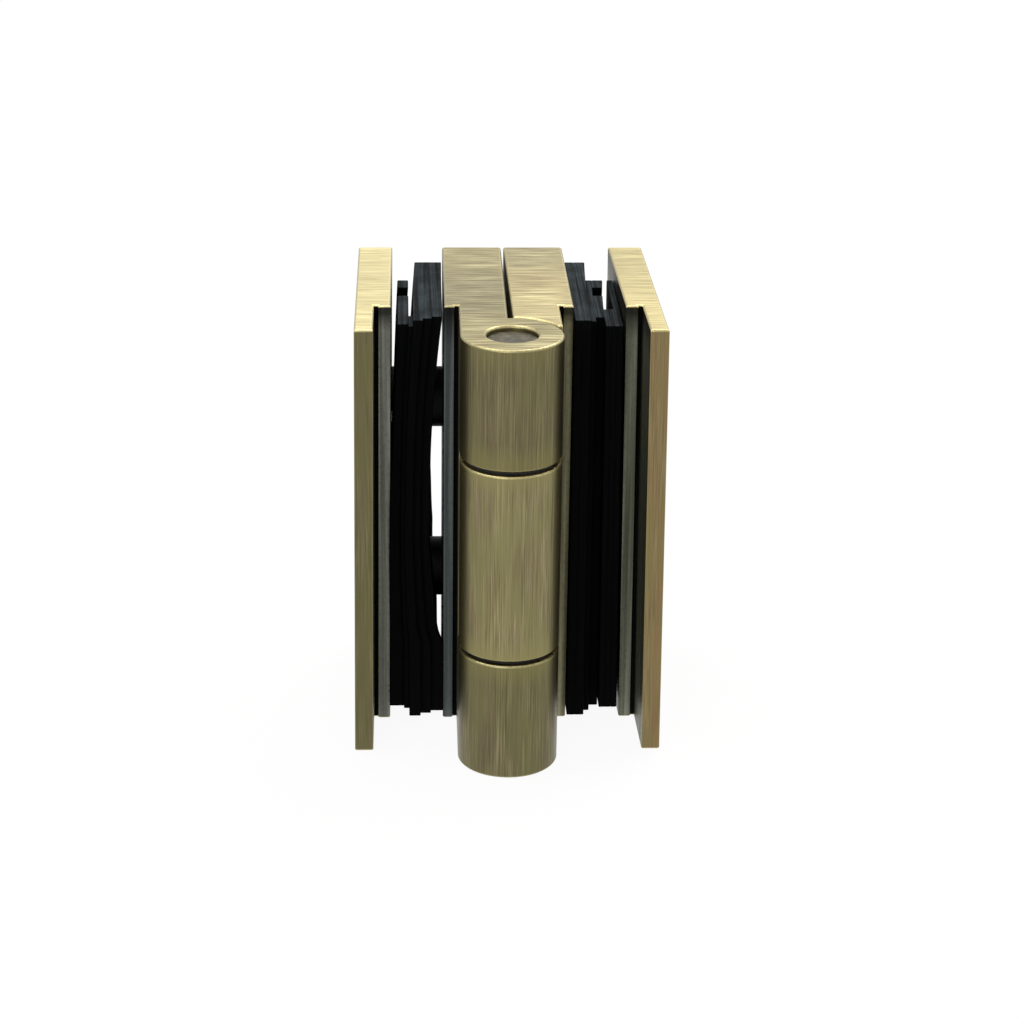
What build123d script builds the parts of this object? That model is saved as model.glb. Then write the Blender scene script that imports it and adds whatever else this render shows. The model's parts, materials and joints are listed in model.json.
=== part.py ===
from build123d import *
from math import isclose
import os

# Glass-to-glass hinge, folded shut and standing on end.
# Millimetres. The pin axis is Z and the underside is Z = 0.
# The barrel faces -Y and both glass gaps open towards +Y.
# The left side carries the end knuckles, the right side swings.
# No glass is clamped, so the leaves and covers stand a little out of parallel.

# Barrel
hinge_height = 90.0
barrel_radius = 10.0
end_knuckle_height = 24.6
knuckle_gap = 0.9
knuckle_clearance = 0.4

# Leaves, measured from the pin axis
leaf_gap = 1.1
leaf_toe = 0.3
leaf_thickness = 12.3
back_edge = 57.4
rebate_start = 17.3
neck_start = 5.2
relief_width = 0.8
relief_depth = 0.6
edge_chamfer = 0.35
knuckle_chamfer = 0.3

# Cover plates
glass_gap = 10.7
cover_thickness = 7.0
lip_thickness = 3.7
lip_start = 2.4
left_cover_toe = 0.05
right_cover_toe = 0.55
left_cover_lean = 0.5
right_cover_lean = 0.85

# Pin and flanged bushes
pin_radius = 5.0
pin_floor = 6.0
pin_sink = 1.0
pin_chamfer = 0.15
bore_chamfer = 0.4
running_clearance = 0.05
bush_wall = 1.0
bush_length = 15.0
flange_radius = 9.1
flange_clearance = 0.05

# Clamp screws and the sleeves round them
screw_line = 37.3
screw_spacing = 38.0
screw_radius = 3.0
screw_clearance = 0.2
shank_length = 20.0
head_radius = 5.0
head_height = 4.0
head_clearance = 0.3
head_sink = 0.3
socket_flats = 4.0
socket_depth = 2.5
tapped_depth = 9.0
sleeve_radius = 6.2
sleeve_clearance = 0.4

# Packing in the glass gaps
pack_seat = 0.15
sheet_seat = 0.05
bow_height = 54.0
seat_height = 20.0
left_bows = [0.0, 2.3, 0.0, 0.0]
left_slacks = [1.2, 0.0, 0.0, 0.0]
sheet_inset = 2.0
sheet_back = 53.0
block_inset = 3.4
block_back = 45.0
notch_width = 5.4
notch_depth = 2.5
strip_front = 15.0
left_strip_back = 21.5
right_strip_back = 25.7

# Places that follow from the sizes above
leaf_inner = leaf_gap / 2
clamp_face = leaf_inner + leaf_thickness
cover_inner = clamp_face + glass_gap
cover_outer = cover_inner + cover_thickness
lip_inner = cover_outer - lip_thickness
rebate_end = rebate_start + relief_depth
middle_height = hinge_height / 2
low_joint = end_knuckle_height
high_joint = hinge_height - end_knuckle_height
middle_low = low_joint + knuckle_gap
middle_high = high_joint - knuckle_gap
screw_heights = [middle_height - screw_spacing / 2, middle_height + screw_spacing / 2]
screw_places = [(screw_line, height) for height in screw_heights]
bush_bore = pin_radius + running_clearance
bush_radius = bush_bore + bush_wall
flange_thickness = knuckle_gap - flange_clearance

# The left side lies at negative X, the right side at positive X
left = -1
right = 1
cover_toe = {left: left_cover_toe, right: right_cover_toe}
cover_lean = {left: left_cover_lean, right: right_cover_lean}


def leaf_shift(y):
    """How far a leaf's faces at y lie nearer to the middle plane, because the leaves toe in."""
    return leaf_toe * y / back_edge


def cover_shift(side, y, z):
    """How far a cover lies nearer to the middle plane at y and z, because it toes in and leans."""
    toe = cover_toe[side] * (y - rebate_start) / (back_edge - rebate_start)
    lean = cover_lean[side] * (z - middle_height) / hinge_height
    return leaf_shift(y) + toe + lean


def leaf_points(side):
    """Plan of a leaf without knuckles. A narrow groove relieves the inside corner of its step."""
    groove = barrel_radius + relief_width
    corners = [
        (leaf_inner, 0),
        (leaf_inner, back_edge),
        (clamp_face, back_edge),
        (clamp_face, rebate_start),
        (groove, rebate_start),
        (groove, rebate_end),
        (barrel_radius, rebate_end),
        (barrel_radius, 0),
    ]
    return [(side * (x - leaf_shift(y)), y) for x, y in corners]


def cover_points(side):
    """Plan of a cover's foot: a thick clamp part and a thin lip that runs forward to the barrel."""
    groove = lip_inner - relief_width
    corners = [
        (cover_inner, back_edge),
        (cover_outer, back_edge),
        (cover_outer, lip_start),
        (lip_inner, lip_start),
        (lip_inner, rebate_end),
        (groove, rebate_end),
        (groove, rebate_start),
        (cover_inner, rebate_start),
    ]
    return [(side * (x - cover_shift(side, y, 0)), y) for x, y in corners]


def outer_rims(body):
    """The outline edges of a body's top and bottom faces."""
    layers = body.faces().filter_by(Axis.Z).group_by(Axis.Z)
    return [edge for face in (*layers[0], *layers[-1]) for edge in face.outer_wire().edges()]


def knuckle_rims(body):
    """The round edges of a body's knuckles at the joints of the barrel."""
    joints = [low_joint, middle_low, middle_high, high_joint]
    arcs = body.edges().filter_by(GeomType.CIRCLE)
    return [
        arc
        for arc in arcs
        if isclose(arc.radius, barrel_radius) and any(isclose(arc.center().Z, joint) for joint in joints)
    ]


def make_leaf(side, knuckles, rooms):
    """A leaf with its own knuckles, hollowed round the knuckles of the other leaf."""
    with BuildPart() as leaf:
        with BuildSketch(Plane.XY):
            with BuildLine():
                Polyline(*leaf_points(side), close=True)
            make_face()
        extrude(amount=hinge_height)
        for low, high in rooms:
            with BuildSketch(Plane.XY.offset(low)):
                Circle(barrel_radius + knuckle_clearance)
                with Locations((0, neck_start)):
                    Rectangle(2 * clamp_face, barrel_radius, align=(Align.CENTER, Align.MAX))
            extrude(amount=high - low, mode=Mode.SUBTRACT)
        for low, high in knuckles:
            with BuildSketch(Plane.XY.offset(low)):
                Circle(barrel_radius)
            extrude(amount=high - low)
        chamfer(outer_rims(leaf), edge_chamfer)
        chamfer(knuckle_rims(leaf), knuckle_chamfer)
        with BuildSketch(Plane.YZ.offset(side * clamp_face)):
            with Locations(*screw_places):
                Circle(screw_radius)
        extrude(amount=-side * tapped_depth, mode=Mode.SUBTRACT)
    return leaf


def make_bush(knuckle_end, inward):
    """A flanged bush in the middle knuckle. Inward is 1 where it runs up into the knuckle, -1 where down."""
    flange_face = knuckle_end - inward * flange_thickness
    inner_end = knuckle_end + inward * bush_length
    with BuildPart() as bush:
        with BuildSketch(Plane.XZ):
            with BuildLine():
                Polyline(
                    (bush_bore, flange_face),
                    (flange_radius, flange_face),
                    (flange_radius, knuckle_end),
                    (bush_radius, knuckle_end),
                    (bush_radius, inner_end),
                    (bush_bore, inner_end),
                    close=True,
                )
            make_face()
        revolve(axis=Axis.Z)
    return bush


def make_cover(side):
    """A cover plate with stepped holes for its clamp screws."""
    rise = Vector(-side * cover_lean[side], 0, hinge_height)
    with BuildPart() as cover:
        with BuildSketch(Plane.XY):
            with BuildLine():
                Polyline(*cover_points(side), close=True)
            make_face()
        extrude(amount=rise.length, dir=rise)
        chamfer(outer_rims(cover), edge_chamfer)
        with Locations(*screw_seats(side, -head_sink)):
            CounterBoreHole(
                radius=screw_radius + screw_clearance,
                counter_bore_radius=head_radius + head_clearance,
                counter_bore_depth=head_height + 2 * head_sink,
            )
    return cover


def screw_seats(side, depth):
    """Planes at each clamp screw, looking outwards, at that depth below a cover's outer face."""
    faces = [cover_outer - cover_shift(side, screw_line, height) for height in screw_heights]
    return [
        Plane(origin=(side * (face - depth), screw_line, height), x_dir=(0, 1, 0), z_dir=(side, 0, 0))
        for face, height in zip(faces, screw_heights)
    ]


def make_screws(side):
    """The low-headed socket screws of one side, their heads a little below the cover's face."""
    hang = (Align.CENTER, Align.CENTER, Align.MAX)
    tops = screw_seats(side, head_sink)
    with BuildPart() as screws:
        with Locations(*tops):
            Cylinder(head_radius, head_height, align=hang)
            Cylinder(screw_radius, head_height + shank_length, align=hang)
        with BuildSketch(*tops):
            RegularPolygon(socket_flats / 2, 6, major_radius=False)
        extrude(amount=-socket_depth, mode=Mode.SUBTRACT)
    return screws


def make_sleeves(side):
    """The two black sleeves that keep the glass off the clamp screws, as long as the gap is at its tightest."""
    start = clamp_face - leaf_shift(screw_line - sleeve_radius)
    end = cover_inner - cover_shift(side, screw_line + sleeve_radius, screw_heights[-1] + sleeve_radius)
    with BuildPart() as sleeves:
        with BuildSketch(Plane.YZ.offset(side * start)):
            with Locations(*screw_places):
                Circle(sleeve_radius)
                Circle(screw_radius + screw_clearance, mode=Mode.SUBTRACT)
        extrude(amount=side * (end - start))
    return sleeves


def packing_face(side, share, seat):
    """Points down one face of a packing piece, by its share of the way from the leaf to the cover."""
    bows, slacks = (left_bows, left_slacks) if side == left else ([0, 0], [0, 0])
    heights = [hinge_height, bow_height, seat_height, 0] if side == left else [hinge_height, 0]
    points = []
    for height, bow, slack in zip(heights, bows, slacks):
        near = clamp_face - leaf_shift(rebate_start) + pack_seat + bow
        far = cover_inner - cover_shift(side, block_back, height) - pack_seat - slack
        points.append((side * (near + share * (far - near) + seat), height))
    return points


def make_packing(side, shares, front, back, inset, notched=False):
    """A packing piece. The left ones bow off the leaf and lie flat below, the right ones are straight."""
    near = packing_face(side, shares[0], sheet_seat / 2)
    far = packing_face(side, shares[1], -sheet_seat / 2)
    with BuildPart() as packing:
        with BuildSketch(Plane.XZ.offset(-back)):
            with BuildLine():
                for face in (near, far):
                    if side == left:
                        ThreePointArc(*face[:3])
                    Line(*face[-2:])
                Line(near[0], far[0])
                Line(near[-1], far[-1])
            make_face()
            with Locations((0, middle_height)):
                Rectangle(2 * cover_outer, hinge_height - 2 * inset, mode=Mode.INTERSECT)
        extrude(amount=back - front)
        extrude(sleeve_slot(side), amount=side * glass_gap, mode=Mode.SUBTRACT)
        if notched:
            with BuildSketch(Plane.YZ.offset(side * clamp_face)):
                with Locations((screw_line, hinge_height - inset)):
                    Rectangle(notch_width, 2 * notch_depth)
            extrude(amount=side * glass_gap, mode=Mode.SUBTRACT)
    return packing


def sleeve_slot(side):
    """The long slot by which a packing sheet hangs on both sleeves, drawn on the leaf's clamp face."""
    with BuildSketch(Plane.YZ.offset(side * clamp_face)) as slot:
        with Locations((screw_line, middle_height)):
            SlotCenterToCenter(screw_spacing, 2 * (sleeve_radius + sleeve_clearance), rotation=90)
    return slot.sketch


def write(piece, name):
    """Labels a finished piece and writes it under the same name."""
    piece.part.label = name
    export_step(piece.part, f"parts/{name}.step")


os.makedirs("parts", exist_ok=True)

# Left leaf with the top and bottom knuckles, its pin bore closed at the foot
left_leaf = make_leaf(left, [(0, low_joint), (high_joint, hinge_height)], [(low_joint, high_joint)])
with BuildPart() as left_leaf_bored:
    add(left_leaf.part)
    with BuildSketch(Plane.XY.offset(pin_floor)):
        Circle(pin_radius)
    extrude(amount=hinge_height - pin_floor, mode=Mode.SUBTRACT)
    mouth = left_leaf_bored.edges().filter_by(GeomType.CIRCLE).group_by(Axis.Z)[-1]
    chamfer(mouth.sort_by(SortBy.RADIUS)[0], bore_chamfer)
write(left_leaf_bored, "left_leaf")

# Right leaf with the middle knuckle, bored for the bushes
right_leaf = make_leaf(right, [(middle_low, middle_high)], [(0, middle_low), (middle_high, hinge_height)])
with BuildPart() as right_leaf_bored:
    add(right_leaf.part)
    with BuildSketch(Plane.XY.offset(middle_low)):
        Circle(bush_radius)
    extrude(amount=middle_high - middle_low, mode=Mode.SUBTRACT)
write(right_leaf_bored, "right_leaf")

# Pin, its top end a little below the face of the top knuckle
with BuildPart() as hinge_pin:
    with BuildSketch(Plane.XY.offset(pin_floor)):
        Circle(pin_radius)
    extrude(amount=hinge_height - pin_sink - pin_floor)
    chamfer(hinge_pin.edges().filter_by(GeomType.CIRCLE).sort_by(Axis.Z)[-1], pin_chamfer)
write(hinge_pin, "hinge_pin")

# Flanged bushes, one from each end of the middle knuckle
write(make_bush(middle_low, 1), "lower_bush")
write(make_bush(middle_high, -1), "upper_bush")

# Cover plates, clamp screws and sleeves
for side, side_name in ((left, "left"), (right, "right")):
    write(make_cover(side), f"{side_name}_cover")
    write(make_screws(side), f"{side_name}_screws")
    write(make_sleeves(side), f"{side_name}_sleeves")

# Left packing, from the leaf outwards. Each piece has its shares of the way from leaf to cover, so that it
# is squeezed thinner where they are closer together, then its front, its back, how far it stays below the
# top and above the underside, and whether its top edge is notched.
left_packing = {
    "left_sheet_a": ((0, 0.24), 16.7, sheet_back, sheet_inset),
    "left_sheet_b": ((0.24, 0.44), 15.6, sheet_back, sheet_inset),
    "left_sheet_c": ((0.44, 0.65), 14.3, sheet_back, sheet_inset),
    "left_strip": ((0.65, 0.755), strip_front, left_strip_back, block_inset),
    "left_block": ((0.755, 1), 16.2, block_back, block_inset, True),
}
for name, values in left_packing.items():
    write(make_packing(left, *values), name)

# Right packing: two long sheets, a short one, a notched block, two front strips and a sheet on the cover
right_packing = {
    "right_sheet_a": ((0, 0.155), 14.3, sheet_back, sheet_inset),
    "right_sheet_b": ((0.155, 0.33), 14.3, sheet_back, sheet_inset),
    "right_sheet_c": ((0.33, 0.46), 18.0, block_back, block_inset),
    "right_block": ((0.46, 0.65), 20.5, block_back, block_inset, True),
    "right_strip": ((0.65, 0.765), strip_front, right_strip_back, block_inset),
    "right_outer_strip": ((0.765, 0.88), strip_front, right_strip_back, block_inset),
    "right_cover_sheet": ((0.88, 1), strip_front, block_back, block_inset),
}
for name, values in right_packing.items():
    write(make_packing(right, *values), name)
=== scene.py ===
import bmesh
import bpy
import json
from math import pi, radians
from mathutils import Matrix, Vector

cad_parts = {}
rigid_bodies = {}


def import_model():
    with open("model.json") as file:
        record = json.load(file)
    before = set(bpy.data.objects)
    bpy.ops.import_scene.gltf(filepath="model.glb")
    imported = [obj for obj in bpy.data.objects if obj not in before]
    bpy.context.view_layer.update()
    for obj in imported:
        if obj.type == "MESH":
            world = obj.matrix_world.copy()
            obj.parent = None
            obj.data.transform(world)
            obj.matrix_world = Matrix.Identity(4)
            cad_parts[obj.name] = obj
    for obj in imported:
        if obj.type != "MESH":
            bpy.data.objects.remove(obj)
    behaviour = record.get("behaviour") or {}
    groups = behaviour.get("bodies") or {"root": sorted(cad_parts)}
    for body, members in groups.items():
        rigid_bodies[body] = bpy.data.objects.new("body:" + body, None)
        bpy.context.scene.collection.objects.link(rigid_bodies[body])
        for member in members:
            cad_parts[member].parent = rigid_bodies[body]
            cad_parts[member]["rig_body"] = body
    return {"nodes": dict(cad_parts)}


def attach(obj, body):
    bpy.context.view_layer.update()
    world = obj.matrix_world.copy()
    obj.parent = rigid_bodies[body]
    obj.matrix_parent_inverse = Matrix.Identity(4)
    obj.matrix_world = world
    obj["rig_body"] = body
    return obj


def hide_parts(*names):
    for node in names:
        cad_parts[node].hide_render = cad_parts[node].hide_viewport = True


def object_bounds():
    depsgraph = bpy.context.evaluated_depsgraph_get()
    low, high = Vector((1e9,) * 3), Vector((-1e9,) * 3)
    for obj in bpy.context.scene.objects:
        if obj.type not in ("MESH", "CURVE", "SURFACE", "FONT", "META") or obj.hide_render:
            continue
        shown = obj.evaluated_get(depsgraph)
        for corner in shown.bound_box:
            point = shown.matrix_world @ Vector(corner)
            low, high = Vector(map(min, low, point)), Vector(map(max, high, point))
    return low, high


# Glass-to-glass hinge in brushed antique brass, folded shut and standing on end.
# Metres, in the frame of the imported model: pin axis on Z, barrel towards -Y.

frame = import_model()
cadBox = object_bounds()
nodes = frame["nodes"]
scene = bpy.context.scene
mm = 0.001
middleHeight = (cadBox[0].z + cadBox[1].z) / 2
print("frame loaded:", len(nodes), "nodes")


# Shared helpers

def linear(hexText):
    # an sRGB hex colour as the linear values that shaders want
    channels = [int(hexText[i:i + 2], 16) / 255 for i in (1, 3, 5)]
    return [c / 12.92 if c <= 0.04045 else ((c + 0.055) / 1.055) ** 2.4 for c in channels] + [1]


def addNode(tree, kind, settings=None, links=None):
    node = tree.nodes.new(kind)
    for key, value in (settings or {}).items():
        if isinstance(key, str) and hasattr(node, key):
            setattr(node, key, value)
        else:
            node.inputs[key].default_value = value
    for key, source in (links or {}).items():
        tree.links.new(source, node.inputs[key])
    return node


def newMaterial(name):
    material = bpy.data.materials.new(name)
    material.use_nodes = True
    material.node_tree.nodes.clear()
    return material, material.node_tree


def colourRamp(tree, factor, stops):
    # stops are (place, hex colour)
    ramp = addNode(tree, "ShaderNodeValToRGB", links={"Fac": factor})
    elements = ramp.color_ramp.elements
    while len(elements) < len(stops):
        elements.new(0.5)
    for element, (place, hexText) in zip(elements, stops):
        element.position = place
        element.color = linear(hexText)
    return ramp.outputs["Color"]


def blendColours(tree, factor, first, second, how="MIX"):
    mix = addNode(tree, "ShaderNodeMix", {"data_type": "RGBA", "blend_type": how})
    for socket, value in ((mix.inputs[0], factor), (mix.inputs[6], first), (mix.inputs[7], second)):
        if isinstance(value, bpy.types.NodeSocket):
            tree.links.new(value, socket)
        else:
            socket.default_value = value
    return mix.outputs[2]


def mapRange(tree, value, fromLow, fromHigh, toLow, toHigh):
    settings = {1: fromLow, 2: fromHigh, 3: toLow, 4: toHigh}
    return addNode(tree, "ShaderNodeMapRange", settings, {0: value}).outputs[0]


def noise(tree, vector, settings):
    return addNode(tree, "ShaderNodeTexNoise", settings, {"Vector": vector}).outputs["Fac"]


# Materials

brassLook = {
    "grainWidthMm": 0.22,       # brush lines, drawn a little coarser than real ones so that they show
    "grainLengthMm": 13.0,
    "bandWidthMm": 1.3,         # broad streaks where the brush pressed harder
    "bandLengthMm": 45.0,
    "endLineWidthMm": 0.45,     # the end faces were brushed with a coarser belt
    "endLineLengthMm": 11.0,
    "blotchWidthMm": 4.0,       # longish olive and brown blotches of patina
    "blotchLengthMm": 13.0,
    "patchMm": 16.0,            # slow drift of tone on the end faces
    "roughness": (0.30, 0.46),
    "bumpDepthMm": 0.012,
    "bumpStrength": (0.55, 0.12),   # on the brushed faces, and on the worn edges
    # how far the eased edges turn to the ends' light tone: wear, and a painted highlight
    "edgeWearAndHighlight": 0.15,
    "endTilt": 0.8,             # faces turned up or down more than this are brushed as end faces
    "easedTilt": (0.5, 0.95),   # the eased edges pass from the side's tones to the end's between these
    "rubShare": 0.55,
    "rubDepthMm": (8.0, 13.0),  # the rubbed zones fade out towards the back between these depths
    # heights, as shares of the whole, where the knuckles rub at the joints and turn yellower
    "rubbed": [(0.0, "#606060"), (0.05, "#000000"), (0.22, "#000000"), (0.265, "#FFFFFF"), (0.29, "#FFFFFF"),
               (0.34, "#000000"), (0.67, "#000000"), (0.71, "#FFFFFF"), (0.745, "#FFFFFF"), (0.79, "#000000"),
               (0.94, "#000000"), (1.0, "#E0E0E0")],
}


def brushedBrass(name, upright, ends, look=brassLook):
    # Antique brass, darkened and then brushed with a belt: streaky satin lines down the upright faces
    # and across the end faces. The end faces are drawn much lighter: a painted highlight from the light above them.
    material, tree = newMaterial(name)
    place = addNode(tree, "ShaderNodeTexCoord").outputs["Object"]
    facing = addNode(tree, "ShaderNodeNewGeometry").outputs["Normal"]
    upness = addNode(tree, "ShaderNodeSeparateXYZ", links={0: facing}).outputs["Z"]
    tilt = addNode(tree, "ShaderNodeMath", {"operation": "ABSOLUTE"}, {0: upness}).outputs[0]
    onEnd = addNode(tree, "ShaderNodeMath", {"operation": "GREATER_THAN", 1: look["endTilt"]}, {0: tilt}).outputs[0]
    endShare = mapRange(tree, tilt, *look["easedTilt"], 0.0, 1.0)

    def grainSpace(widthMm, lengthMm):
        across, along = 1 / (widthMm * mm), 1 / (lengthMm * mm)
        down = addNode(tree, "ShaderNodeMapping", {"Scale": (across, across, along)}, {"Vector": place})
        over = addNode(tree, "ShaderNodeMapping", {"Scale": (along, across, across)}, {"Vector": place})
        pick = addNode(tree, "ShaderNodeMix", {"data_type": "VECTOR"},
                       {0: onEnd, 4: down.outputs[0], 5: over.outputs[0]})
        return pick.outputs[1]

    grain = noise(tree, grainSpace(look["grainWidthMm"], look["grainLengthMm"]),
                  {"Scale": 1.0, "Detail": 3.0, "Roughness": 0.65})
    bands = noise(tree, grainSpace(look["bandWidthMm"], look["bandLengthMm"]),
                  {"Scale": 1.0, "Detail": 2.0, "Roughness": 0.5})
    blotches = noise(tree, grainSpace(look["blotchWidthMm"], look["blotchLengthMm"]),
                     {"Scale": 1.0, "Detail": 1.5, "Roughness": 0.5})
    patches = noise(tree, place, {"Scale": 1 / (look["patchMm"] * mm), "Detail": 2.0, "Roughness": 0.5})
    where = addNode(tree, "ShaderNodeSeparateXYZ", links={0: place}).outputs

    side = colourRamp(tree, grain, [(0.28, upright["dark"]), (0.50, upright["middle"]), (0.74, upright["light"])])
    side = blendColours(tree, mapRange(tree, bands, 0.44, 0.62, 0.0, 0.50), side, linear(upright["streak"]))
    side = blendColours(tree, mapRange(tree, blotches, 0.44, 0.64, 0.0, 0.55), side, linear(upright["drift"]))
    if "rub" in upright:
        share = mapRange(tree, where["Z"], cadBox[0].z, cadBox[1].z, 0.0, 1.0)
        rubbed = colourRamp(tree, share, look["rubbed"])
        front, back = look["rubDepthMm"]
        onBarrel = mapRange(tree, where["Y"], front * mm, back * mm, look["rubShare"], 0.0)
        rubbed = addNode(tree, "ShaderNodeMath", {"operation": "MULTIPLY"}, {0: rubbed, 1: onBarrel}).outputs[0]
        side = blendColours(tree, rubbed, side, linear(upright["rub"]))
    lines = noise(tree, grainSpace(look["endLineWidthMm"], look["endLineLengthMm"]),
                  {"Scale": 1.0, "Detail": 3.0, "Roughness": 0.6})
    # the end faces' tones are much lighter than the sides': a painted highlight
    end = colourRamp(tree, lines, [(0.34, ends["dark"]), (0.50, ends["middle"]), (0.64, ends["light"])])
    end = blendColours(tree, mapRange(tree, patches, 0.42, 0.66, 0.0, 0.50), end, linear(ends["drift"]))
    end = blendColours(tree, mapRange(tree, grain, 0.58, 0.74, 0.0, 0.45), end, linear(ends["dark"]))
    # painted sheen: the end faces are lightened or darkened from front to back
    backness = mapRange(tree, where["Y"], cadBox[0].y, cadBox[1].y, 0.0, 1.0)
    end = blendColours(tree, 1.0, end, colourRamp(tree, backness, ends["frontToBackSheen"]), "MULTIPLY")
    colour = blendColours(tree, endShare, side, end)

    # eased edges are drawn lighter: wear, and a painted highlight where they catch the light
    wearAndHighlight = addNode(tree, "ShaderNodeAttribute", {"attribute_type": "GEOMETRY", "attribute_name": "edgeWearAndHighlight"})
    colour = blendColours(tree, mapRange(tree, wearAndHighlight.outputs["Fac"], 0.0, 1.0, 0.0, look["edgeWearAndHighlight"]), colour,
                          linear(ends["light"]))

    low, high = look["roughness"]
    rough = mapRange(tree, grain, 0.25, 0.75, high, low)
    bumpShare = mapRange(tree, wearAndHighlight.outputs["Fac"], 0.0, 1.0, *look["bumpStrength"])
    bump = addNode(tree, "ShaderNodeBump", {"Distance": look["bumpDepthMm"] * mm},
                   {"Height": grain, "Strength": bumpShare})
    shader = addNode(tree, "ShaderNodeBsdfPrincipled", {"Metallic": 1.0},
                     {"Base Color": colour, "Roughness": rough, "Normal": bump.outputs[0]})
    addNode(tree, "ShaderNodeOutputMaterial", links={"Surface": shader.outputs[0]})
    return material


machinedLook = {
    "cutterLengthMm": 60.0,
    "speckleMm": 0.5,
    # painted shade: near black under the top edge
    "paintedShadeHex": "#12110F",
    "paintedShadeShare": 0.85,
    "paintedShadeFullMm": 1.5,
    "roughnessSpread": 0.06,
}


def machinedBrass(name, tones, roughness, grainMm, paintedShadeMm, look=machinedLook):
    # Brass milled and plated but never brushed, inside the clamp: dull grey olive with faint cutter bands, and a
    # painted shade that darkens it under the top edge.
    material, tree = newMaterial(name)
    place = addNode(tree, "ShaderNodeTexCoord").outputs["Object"]
    across, along = 1 / (grainMm * mm), 1 / (look["cutterLengthMm"] * mm)
    stretched = addNode(tree, "ShaderNodeMapping", {"Scale": (across, across, along)}, {"Vector": place}).outputs[0]
    bands = noise(tree, stretched, {"Scale": 1.0, "Detail": 2.0, "Roughness": 0.5})
    speckle = noise(tree, place, {"Scale": 1 / (look["speckleMm"] * mm), "Detail": 2.0})
    colour = colourRamp(tree, bands, [(0.30, tones["dark"]), (0.52, tones["middle"]), (0.72, tones["light"])])
    colour = blendColours(tree, mapRange(tree, speckle, 0.55, 0.75, 0.0, 0.25), colour, linear(tones["dark"]))
    # painted shade: darker under the top edge
    height = addNode(tree, "ShaderNodeSeparateXYZ", links={0: place}).outputs["Z"]
    top = cadBox[1].z
    paintedTopShade = mapRange(tree, height, top - paintedShadeMm * mm, top - look["paintedShadeFullMm"] * mm, 0.0, look["paintedShadeShare"])
    colour = blendColours(tree, paintedTopShade, colour, linear(look["paintedShadeHex"]))
    spread = look["roughnessSpread"]
    rough = mapRange(tree, speckle, 0.3, 0.7, roughness - spread, roughness + spread)
    bump = addNode(tree, "ShaderNodeBump", {"Strength": 0.4, "Distance": 0.01 * mm}, {"Height": bands})
    shader = addNode(tree, "ShaderNodeBsdfPrincipled", {"Metallic": 1.0},
                     {"Base Color": colour, "Roughness": rough, "Normal": bump.outputs[0]})
    addNode(tree, "ShaderNodeOutputMaterial", links={"Surface": shader.outputs[0]})
    return material


def turnedSteel(name, tones, roughness, ringMm, centres):
    # Steel faced on a lathe and blackened: soft rings round each centre, brown grey, half gloss.
    # Centres is the axis the rings lie round: "Z" for the pin, "X" for the screws.
    # A Wave texture draws 20 / (2 pi) rings to each unit of its scaled distance. Real facing marks are finer
    # than the rings drawn here, and wouldn't show.
    material, tree = newMaterial(name)
    place = addNode(tree, "ShaderNodeTexCoord").outputs["Object"]
    rings = addNode(tree, "ShaderNodeTexWave",
                    {"wave_type": "RINGS", "rings_direction": centres, "Scale": 2 * pi / 20 / (ringMm * mm),
                     "Distortion": 0.6, "Detail": 2.0}, {"Vector": place}).outputs["Fac"]
    stains = noise(tree, place, {"Scale": 1 / (1.6 * mm), "Detail": 3.0, "Roughness": 0.6})
    colour = colourRamp(tree, stains, [(0.30, tones["dark"]), (0.52, tones["middle"]), (0.75, tones["light"])])
    colour = blendColours(tree, mapRange(tree, rings, 0.0, 1.0, 0.0, 0.25), colour, linear(tones["dark"]))
    rough = mapRange(tree, stains, 0.3, 0.7, roughness - 0.07, roughness + 0.07)
    bump = addNode(tree, "ShaderNodeBump", {"Strength": 0.35, "Distance": 0.01 * mm}, {"Height": rings})
    shader = addNode(tree, "ShaderNodeBsdfPrincipled", {"Metallic": 1.0},
                     {"Base Color": colour, "Roughness": rough, "Normal": bump.outputs[0]})
    addNode(tree, "ShaderNodeOutputMaterial", links={"Surface": shader.outputs[0]})
    return material


def mouldedNylon(name, tones, roughness):
    # Black nylon as it leaves the mould: even and faintly waxy, with a fine grain that breaks the shine.
    material, tree = newMaterial(name)
    place = addNode(tree, "ShaderNodeTexCoord").outputs["Object"]
    grain = noise(tree, place, {"Scale": 1 / (0.35 * mm), "Detail": 3.0, "Roughness": 0.6})
    colour = colourRamp(tree, grain, [(0.30, tones["dark"]), (0.70, tones["light"])])
    rough = mapRange(tree, grain, 0.3, 0.7, roughness - 0.06, roughness + 0.06)
    bump = addNode(tree, "ShaderNodeBump", {"Strength": 0.3, "Distance": 0.02 * mm}, {"Height": grain})
    shader = addNode(tree, "ShaderNodeBsdfPrincipled", {"Specular IOR Level": 0.25},
                     {"Base Color": colour, "Roughness": rough, "Normal": bump.outputs[0]})
    addNode(tree, "ShaderNodeOutputMaterial", links={"Surface": shader.outputs[0]})
    return material


rubberLook = {
    "pitMm": 0.30,              # open cells on the cut edges
    "fibreWidthMm": 0.16,       # lines that the knife left along the cut
    "fibreLengthMm": 12.0,
    "layerMm": 0.45,            # layers that show as fine lines along the cut top edges
    "layerLengthMm": 40.0,
    "greyTopPatchMm": 5.0,
    "roughness": (0.55, 0.78),
}


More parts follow.
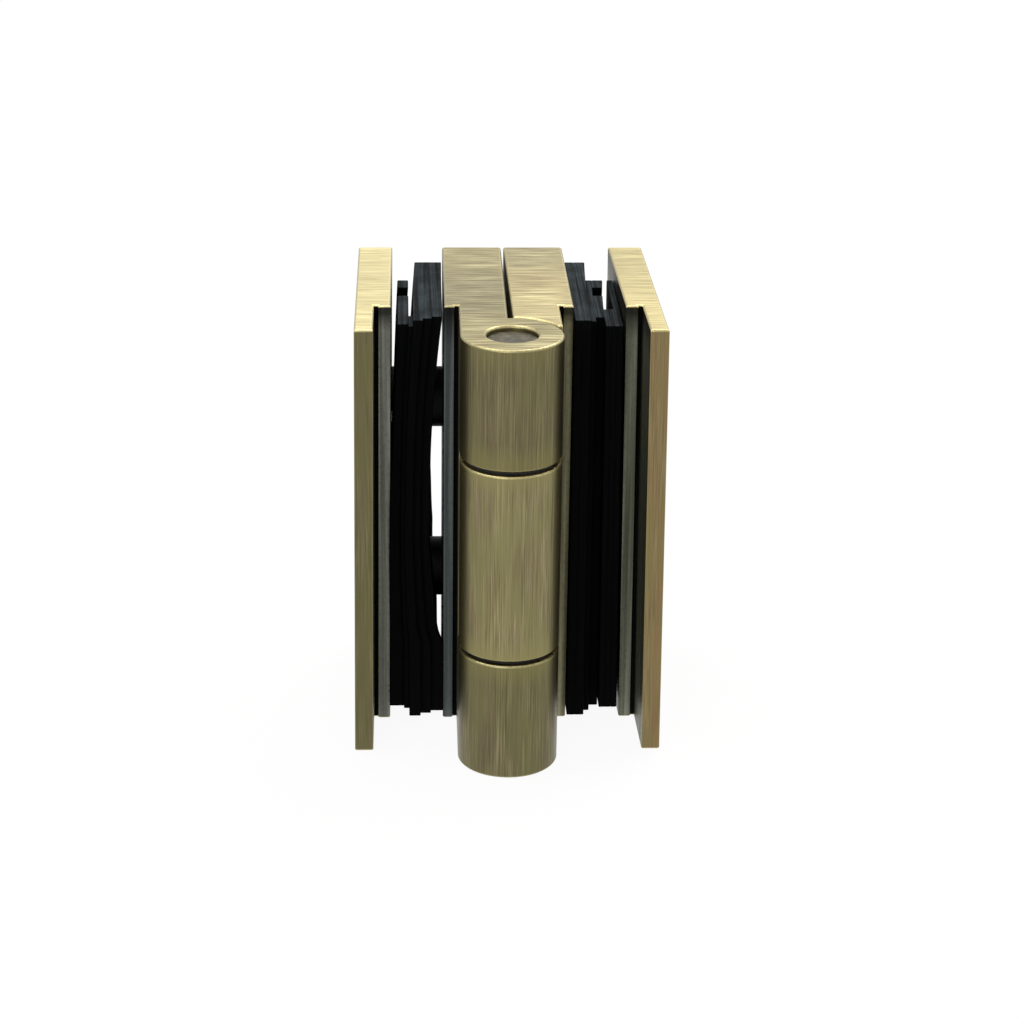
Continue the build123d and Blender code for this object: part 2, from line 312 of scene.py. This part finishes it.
def cutRubber(name, tones, look=rubberLook):
    # Black packing rubber, die cut from sheet: near black and matt, with greyer cut edges on the faces that turn up,
    # and faint knife lines along the edges.
    material, tree = newMaterial(name)
    place = addNode(tree, "ShaderNodeTexCoord").outputs["Object"]
    facing = addNode(tree, "ShaderNodeNewGeometry").outputs["Normal"]
    upness = addNode(tree, "ShaderNodeSeparateXYZ", links={0: facing}).outputs["Z"]
    across = 1 / (look["fibreWidthMm"] * mm)
    along = 1 / (look["fibreLengthMm"] * mm)
    fibreSpace = addNode(tree, "ShaderNodeMapping", {"Scale": (across, along, along)}, {"Vector": place}).outputs[0]
    fibres = noise(tree, fibreSpace, {"Scale": 1.0, "Detail": 2.0, "Roughness": 0.6})
    pits = noise(tree, place, {"Scale": 1 / (look["pitMm"] * mm), "Detail": 3.0, "Roughness": 0.6})
    greyTop = noise(tree, place, {"Scale": 1 / (look["greyTopPatchMm"] * mm), "Detail": 3.0})
    colour = colourRamp(tree, fibres, [(0.32, tones["dark"]), (0.55, tones["middle"]), (0.78, tones["light"])])
    # the faces that turn up are drawn greyer, in patches
    greyTopShare = addNode(tree, "ShaderNodeMath", {"operation": "MULTIPLY"},
                    {0: mapRange(tree, upness, 0.3, 0.9, 0.0, 1.0), 1: mapRange(tree, greyTop, 0.35, 0.65, 0.45, 1.0)})
    layerAcross, layerAlong = 1 / (look["layerMm"] * mm), 1 / (look["layerLengthMm"] * mm)
    layerSpace = addNode(tree, "ShaderNodeMapping", {"Scale": (layerAcross, layerAlong, layerAlong)},
                         {"Vector": place}).outputs[0]
    layers = noise(tree, layerSpace, {"Scale": 1.0, "Detail": 1.0})
    cutTop = colourRamp(tree, layers, [(0.34, tones["seam"]), (0.46, tones["greyTop"]), (0.66, tones["paleGreyTop"])])
    colour = blendColours(tree, greyTopShare.outputs[0], colour, cutTop)
    low, high = look["roughness"]
    rough = mapRange(tree, pits, 0.3, 0.7, low, high)
    bump = addNode(tree, "ShaderNodeBump", {"Strength": 0.5, "Distance": 0.03 * mm}, {"Height": pits})
    shader = addNode(tree, "ShaderNodeBsdfPrincipled", {"Specular IOR Level": 0.04},
                     {"Base Color": colour, "Roughness": rough, "Normal": bump.outputs[0]})
    addNode(tree, "ShaderNodeOutputMaterial", links={"Surface": shader.outputs[0]})
    return material


# the leaves and covers are one brass: the differences between the left and right pieces' tones below are painted
# light and shade
# the end faces' tones, drawn light as a painted highlight, and a painted sheen that lightens or darkens them from
# front to back
leftCoverEnds = {"dark": "#C4B37C", "middle": "#E4D69D", "light": "#F8EDB4", "drift": "#D8C892",
                 "frontToBackSheen": [(0.2, "#FFFFFF"), (0.65, "#F2F2F2"), (0.95, "#FCFCFC")]}
rightCoverEnds = {"dark": "#B09E69", "middle": "#D8CA92", "light": "#EFE3A6", "drift": "#C6B381",
                  "frontToBackSheen": [(0.2, "#FFFFFF"), (0.45, "#FCFCFC"), (0.70, "#E8E6E4"), (0.95, "#E9E9E8")]}
leftLeafEnds = {"dark": "#6C6035", "middle": "#ACA073", "light": "#E2D7A6", "drift": "#988B60",
                "frontToBackSheen": [(0.0, "#FFFFFF"), (0.24, "#FAFAFA"), (0.36, "#DCDCDD"), (0.62, "#D6D6D6"),
                           (0.90, "#FFFFFF")]}
rightLeafEnds = {"dark": "#7D6C44", "middle": "#C6B583", "light": "#F2E5AA", "drift": "#B3A376",
                 "frontToBackSheen": [(0.3, "#FFFFFF"), (0.48, "#FAFAFA"), (0.66, "#EBE9E8"), (0.88, "#D6DADC")]}
barrelTones = {"dark": "#514C37", "middle": "#70694B", "light": "#948C6A", "streak": "#675A4A", "drift": "#6F6C48",
               "rub": "#7E784D"}
middleTones = {"dark": "#5F5841", "middle": "#847C58", "light": "#A79E79", "streak": "#776955", "drift": "#837F55",
               "rub": "#8F885A"}
leftTones = {"dark": "#524F36", "middle": "#696446", "light": "#827C5B", "streak": "#6E614C", "drift": "#646240"}
rightTones = {"dark": "#685C41", "middle": "#817250", "light": "#968663", "streak": "#846A4B", "drift": "#7C7349"}

leftLeafBrass = brushedBrass("brushedBrassLeftLeaf", barrelTones, leftLeafEnds)
rightLeafBrass = brushedBrass("brushedBrassRightLeaf", middleTones, rightLeafEnds)
leftCoverBrass = brushedBrass("brushedBrassLeftCover", leftTones, leftCoverEnds)
rightCoverBrass = brushedBrass("brushedBrassRightCover", rightTones, rightCoverEnds)

# the clamp faces are one brass too: the differences between the left and right sets of tones are painted light and
# shade
leftCoverInside = {"dark": "#55564F", "middle": "#727369", "light": "#929389"}
rightCoverInside = {"dark": "#484A3E", "middle": "#666859", "light": "#828477"}
leftLeafInside = {"dark": "#343839", "middle": "#4B5152", "light": "#6A6E6C"}
rightLeafInside = {"dark": "#575543", "middle": "#7A775E", "light": "#999579"}
leftCoverClampBrass = machinedBrass("machinedBrassLeftCover", leftCoverInside, 0.46, 0.9, 5)
rightCoverClampBrass = machinedBrass("machinedBrassRightCover", rightCoverInside, 0.46, 0.9, 7)
leftClampBrass = machinedBrass("machinedBrassLeftLeaf", leftLeafInside, 0.46, 0.9, 9)
rightClampBrass = machinedBrass("machinedBrassRightLeaf", rightLeafInside, 0.46, 0.9, 4)
# the relief grooves are near black: painted shade in the groove
grooveShadeBrass = machinedBrass("grooveBrassPaintedShade", {"dark": "#060606", "middle": "#0D0D0C", "light": "#161614"},
                            0.6, 0.5, 4)
pinSteel = turnedSteel("turnedSteelPin", {"dark": "#3F3B31", "middle": "#5C574A", "light": "#787261"},
                       0.42, 2.1, "Z")
screwSteel = turnedSteel("turnedSteelScrews", {"dark": "#45413B", "middle": "#5A554D", "light": "#6E685F"},
                         0.38, 2.1, "X")
blackNylon = mouldedNylon("mouldedNylon", {"dark": "#060606", "light": "#121211"}, 0.5)
packingRubber = cutRubber("cutRubber", {"dark": "#010101", "middle": "#020303", "light": "#080909",
                                        "seam": "#0B0D0E", "greyTop": "#23292B", "paleGreyTop": "#343B3E"})
print("materials made:", len(bpy.data.materials))


# Metal pieces: copies of the solids with every edge eased

mergeDistance = 0.0005 * mm


def easedCopy(nodeName, pieceName, edgeMm, segments, sharpDegrees=28):
    # merges the solid's loose triangles, clears the flat faces and rounds each sharp edge
    mesh = nodes[nodeName].data.copy()
    mesh.name = pieceName
    mesh.materials.clear()
    shape = bmesh.new()
    shape.from_mesh(mesh)
    bmesh.ops.remove_doubles(shape, verts=shape.verts, dist=mergeDistance)
    bmesh.ops.dissolve_limit(shape, angle_limit=radians(0.5), verts=shape.verts, edges=shape.edges,
                             use_dissolve_boundaries=False, delimit=set())
    # eased and tilted faces are marked for the lighter edge tone: wear, and a painted highlight
    wearAndHighlightLayer = shape.faces.layers.float.new("edgeWearAndHighlight")
    sharp = [edge for edge in shape.edges if edge.is_manifold and edge.calc_face_angle() > radians(sharpDegrees)]
    rounded = bmesh.ops.bevel(shape, geom=sharp, offset=edgeMm * mm, offset_type="OFFSET", segments=segments,
                              profile=0.5, affect="EDGES", clamp_overlap=True, material=-1)
    shape.normal_update()
    for face in shape.faces:
        face[wearAndHighlightLayer] = 1.0 if 0.3 < abs(face.normal.z) < 0.9 else 0.0
    for face in rounded["faces"]:
        face[wearAndHighlightLayer] = 1.0
    for face in shape.faces:
        face.smooth = True
    bmesh.ops.recalc_face_normals(shape, faces=shape.faces)
    shape.to_mesh(mesh)
    shape.free()
    piece = bpy.data.objects.new(pieceName, mesh)
    scene.collection.objects.link(piece)
    return piece


def finishPiece(piece, nodeName, materials):
    for material in materials:
        piece.data.materials.append(material)
    modifier = piece.modifiers.new("evenShading", "WEIGHTED_NORMAL")
    modifier.keep_sharp = True
    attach(piece, nodes[nodeName]["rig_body"])
    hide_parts(nodeName)


def markUnbrushed(piece, innerMm, outerMm, frontMm):
    # the clamp faces and the step before the packing get the second material, the relief groove the third, near
    # black as painted shade
    for face in piece.data.polygons:
        centre, normal = face.center / mm, face.normal
        inClamp = innerMm < abs(centre.x) < outerMm
        if inClamp and abs(normal.z) < 0.5 and grooveMm[0] < centre.y < grooveMm[1]:
            face.material_index = 2
        elif inClamp and (normal.y < -0.7 or abs(normal.x) > 0.7) and abs(normal.z) < 0.5 and centre.y > frontMm:
            face.material_index = 1


grooveMm = (17.36, 18.05)       # the relief grooves lie between these depths
# inner and outer side of the clamp's faces, and the depth at which they begin
leafClampMm = (9.4, 14.0, 17.0)
coverClampMm = (22.0, 27.7, 2.6)
metalPieces = {
    "left_leaf": {"edgeMm": 0.12, "brass": leftLeafBrass, "clamp": leftClampBrass, "unbrushedMm": leafClampMm},
    "right_leaf": {"edgeMm": 0.12, "brass": rightLeafBrass, "clamp": rightClampBrass, "unbrushedMm": leafClampMm},
    "left_cover": {"edgeMm": 0.12, "brass": leftCoverBrass, "clamp": leftCoverClampBrass,
                   "unbrushedMm": coverClampMm},
    "right_cover": {"edgeMm": 0.12, "brass": rightCoverBrass, "clamp": rightCoverClampBrass,
                    "unbrushedMm": coverClampMm},
}

for nodeName, values in metalPieces.items():
    piece = easedCopy(nodeName, nodeName + "_brushed", values["edgeMm"], 3)
    markUnbrushed(piece, *values["unbrushedMm"])
    finishPiece(piece, nodeName, [values["brass"], values["clamp"], grooveShadeBrass])

smallPieces = {
    "hinge_pin": {"edgeMm": 0.08, "slot": "pin_steel", "material": pinSteel},
    "upper_bush": {"edgeMm": 0.10, "slot": "black_nylon", "material": blackNylon},
    "lower_bush": {"edgeMm": 0.10, "slot": "black_nylon", "material": blackNylon},
    "left_screws": {"edgeMm": 0.18, "slot": "screw_steel", "material": screwSteel},
    "right_screws": {"edgeMm": 0.18, "slot": "screw_steel", "material": screwSteel},
    "left_sleeves": {"edgeMm": 0.15, "slot": "black_nylon", "material": blackNylon},
    "right_sleeves": {"edgeMm": 0.15, "slot": "black_nylon", "material": blackNylon},
}

for nodeName, values in smallPieces.items():
    piece = easedCopy(nodeName, nodeName + "_eased", values["edgeMm"], 2)
    finishPiece(piece, nodeName, [values["material"]])
print("metal and nylon pieces made:", len(metalPieces) + len(smallPieces))


# Packing: soft edged sheets, cut into rows so that each one bends smoothly

packingLook = {
    "edgeMm": 0.16,
    "rowMm": 1.5,               # how finely a sheet is cut, so that its bends are smooth
    "columnMm": 4.0,
    # height and how far the left sheets stand off the leaf there, beyond their plain bow
    "leftStandOffMm": [(0.0, -0.12), (18.6, -0.12), (20.9, 1.1), (30.0, 0.95), (41.4, 1.1), (48.0, 0.6),
                       (58.0, 0.3), (68.0, 0.15), (80.0, 0.0)],
    "foldSlant": 0.42,          # the fold at the foot runs downwards to the back
    "blockShare": 0.755,        # where the left block starts, which fills out against its cover at the foot
    "blockFillMm": [(0.0, 0.3), (48.0, 0.3), (60.0, 0.0), (90.0, 0.0)],
    "leafFaceMm": 12.9,         # where the packing starts and how much room it has
    "roomMm": 9.8,
    "splayFrontMm": 14.3,       # the loose sheets fan out towards their backs, most at the top
    "splayBackMm": 53.0,
    "swellMm": 0.09,            # soft faces press on each other, so no light shows between them
}

# how far a sheet's back edge stands out at the top: against the leaf, and for the whole room's width
leftSplay, rightSplay = (-0.3, -0.3), (0.0, 3.1)
splayMm = {
    "left_sheet_a": leftSplay,
    "left_sheet_b": leftSplay,
    "left_sheet_c": leftSplay,
    "right_sheet_a": rightSplay,
    "right_sheet_b": rightSplay,
    "right_sheet_c": rightSplay,
    "right_block": rightSplay,
}
hangMm = {"right_sheet_c": 2.2, "right_block": 2.2}    # these two reach lower at the foot


def cutRows(shape, rowMm):
    lowest = min(vert.co.z for vert in shape.verts)
    highest = max(vert.co.z for vert in shape.verts)
    rows = round((highest - lowest) / (rowMm * mm))
    for row in range(1, rows):
        height = lowest + (highest - lowest) * row / rows
        everything = shape.verts[:] + shape.edges[:] + shape.faces[:]
        bmesh.ops.bisect_plane(shape, geom=everything, dist=mergeDistance,
                               plane_co=(0, 0, height), plane_no=(0, 0, 1))


def cutColumns(shape, columnMm):
    nearest = min(vert.co.y for vert in shape.verts)
    furthest = max(vert.co.y for vert in shape.verts)
    columns = round((furthest - nearest) / (columnMm * mm))
    for column in range(1, columns):
        depth = nearest + (furthest - nearest) * column / columns
        everything = shape.verts[:] + shape.edges[:] + shape.faces[:]
        bmesh.ops.bisect_plane(shape, geom=everything, dist=mergeDistance,
                               plane_co=(0, depth, 0), plane_no=(0, 1, 0))


def between(stops, place):
    # eases from one stop's value to the next
    for (low, first), (high, second) in zip(stops, stops[1:]):
        if place <= high:
            share = max(0.0, (place - low) / (high - low))
            return first + (second - first) * share * share * (3 - 2 * share)
    return stops[-1][1]


def packingSheet(nodeName, look=packingLook):
    piece = easedCopy(nodeName, nodeName + "_rubber", look["edgeMm"], 2)
    shape = bmesh.new()
    shape.from_mesh(piece.data)
    shape.normal_update()
    leafSplay, roomSplay = splayMm.get(nodeName, (0.0, 0.0))
    hang = hangMm.get(nodeName, 0.0)
    for vert in shape.verts:
        vert.co.x += look["swellMm"] * mm * vert.normal.x
    cutRows(shape, look["rowMm"])
    if nodeName in splayMm or nodeName.startswith("left"):
        cutColumns(shape, look["columnMm"])
    foot = min(vert.co.z for vert in shape.verts)
    depth = (look["splayBackMm"] - look["splayFrontMm"]) * mm
    for vert in shape.verts:
        outwards = 1 if vert.co.x > 0 else -1
        share = (abs(vert.co.x) / mm - look["leafFaceMm"]) / look["roomMm"]
        bend = 0.0
        if nodeName.startswith("left"):
            foldHeight = vert.co.z / mm + look["foldSlant"] * (vert.co.y / mm - look["splayFrontMm"])
            bend = between(look["leftStandOffMm"], foldHeight) * max(0.0, 1 - share)
        if nodeName == "left_block":
            outer = max(0.0, (share - look["blockShare"]) / (1 - look["blockShare"]))
            bend += between(look["blockFillMm"], vert.co.z / mm) * outer
        backness = max(0.0, (vert.co.y - look["splayFrontMm"] * mm) / depth)
        bend += (leafSplay + roomSplay * share) * backness ** 2 * max(0.0, vert.co.z / cadBox[1].z)
        vert.co.x += outwards * bend * mm
        below = max(0.0, middleHeight - vert.co.z) / (middleHeight - foot)
        vert.co.z -= hang * mm * below
    shape.to_mesh(piece.data)
    shape.free()
    finishPiece(piece, nodeName, [packingRubber])


packingNodes = [name for name in nodes if name.split("_")[-1] in ("a", "b", "c", "strip", "block", "sheet")]
for nodeName in packingNodes:
    packingSheet(nodeName)
print("packing sheets made:", len(packingNodes))


# Studio

studio = {
    "floorSizeM": 6.0,
    "floorHex": "#F4F4F2",
    "worldStrength": 0.55,
    "shadowShare": 0.07,        # how much of the floor's own shading the camera still sees
}

lamps = {
    # place in metres, width, height, watts
    "keySoftbox": ((0.45, 0.55, 0.95), 0.7, 0.7, 7.0),
    "topSoftbox": ((-0.35, 0.10, 1.10), 0.8, 0.8, 6.0),
    "frontSoftbox": ((-0.50, -1.10, 0.60), 0.6, 0.9, 5.0),
}


def backgroundRays(tree):
    # 1 for the rays to which floor and world are white: the camera's, and those in metal and glass
    rays = addNode(tree, "ShaderNodeLightPath").outputs
    seen = addNode(tree, "ShaderNodeMath", {"operation": "MAXIMUM"},
                   {0: rays["Is Camera Ray"], 1: rays["Is Glossy Ray"]}).outputs[0]
    return addNode(tree, "ShaderNodeMath", {"operation": "MAXIMUM"},
                   {0: seen, 1: rays["Is Transmission Ray"]}).outputs[0]


def addFloor():
    shape = bmesh.new()
    bmesh.ops.create_grid(shape, x_segments=1, y_segments=1, size=studio["floorSizeM"] / 2)
    mesh = bpy.data.meshes.new("floor")
    shape.to_mesh(mesh)
    shape.free()
    floor = bpy.data.objects.new("floor", mesh)
    scene.collection.objects.link(floor)
    material, tree = newMaterial("paleFloor")
    seen = backgroundRays(tree)
    share = addNode(tree, "ShaderNodeMath", {"operation": "MULTIPLY", 1: 1 - studio["shadowShare"]}, {0: seen})
    paint = addNode(tree, "ShaderNodeBsdfDiffuse", {"Color": linear(studio["floorHex"])})
    glow = addNode(tree, "ShaderNodeEmission", {"Color": (1, 1, 1, 1), "Strength": 1.0})
    mix = addNode(tree, "ShaderNodeMixShader", links={0: share.outputs[0], 1: paint.outputs[0], 2: glow.outputs[0]})
    addNode(tree, "ShaderNodeOutputMaterial", links={"Surface": mix.outputs[0]})
    mesh.materials.append(material)


def addWorld():
    world = bpy.data.worlds.new("studioWorld")
    world.use_nodes = True
    tree = world.node_tree
    tree.nodes.clear()
    seen = backgroundRays(tree)
    soft = addNode(tree, "ShaderNodeBackground", {"Color": (1, 1, 1, 1), "Strength": studio["worldStrength"]})
    white = addNode(tree, "ShaderNodeBackground", {"Color": (1, 1, 1, 1), "Strength": 1.0})
    mix = addNode(tree, "ShaderNodeMixShader", links={0: seen, 1: soft.outputs[0], 2: white.outputs[0]})
    addNode(tree, "ShaderNodeOutputWorld", links={"Surface": mix.outputs[0]})
    scene.world = world


def addLamp(name, place, width, height, watts):
    lamp = bpy.data.lights.new(name, "AREA")
    lamp.shape = "RECTANGLE"
    lamp.size, lamp.size_y, lamp.energy = width, height, watts
    holder = bpy.data.objects.new(name, lamp)
    scene.collection.objects.link(holder)
    aim = Vector(place) - Vector((0, 0.02, middleHeight))
    holder.matrix_world = Matrix.Translation(place) @ aim.to_track_quat("Z", "Y").to_matrix().to_4x4()


addFloor()
addWorld()
for name, values in lamps.items():
    addLamp(name, *values)

view = {
    # fitted to the hinge's edges in the photo, with the hinge's main sizes already set
    "placeMm": (-21.837, -503.483, 258.533),
    "yaw": 0.04403,
    "pitch": 0.38667,
    "roll": 0.01339,
    "focalPixels": 2781.74,
    "imagePixels": 1024,
}


def addCamera():
    lens = bpy.data.cameras.new("camera")
    lens.sensor_width = 36.0
    lens.lens = view["focalPixels"] * lens.sensor_width / view["imagePixels"]
    lens.clip_start, lens.clip_end = 0.01, 50.0
    camera = bpy.data.objects.new("camera", lens)
    scene.collection.objects.link(camera)
    turn = Matrix.Rotation(-view["yaw"], 4, "Z") @ Matrix.Rotation(pi / 2 - view["pitch"], 4, "X")
    roll = Matrix.Rotation(view["roll"], 4, "Z")
    camera.matrix_world = Matrix.Translation(Vector(view["placeMm"]) * mm) @ turn @ roll
    scene.camera = camera


addCamera()
scene.view_settings.view_transform = "Standard"
print("studio made")
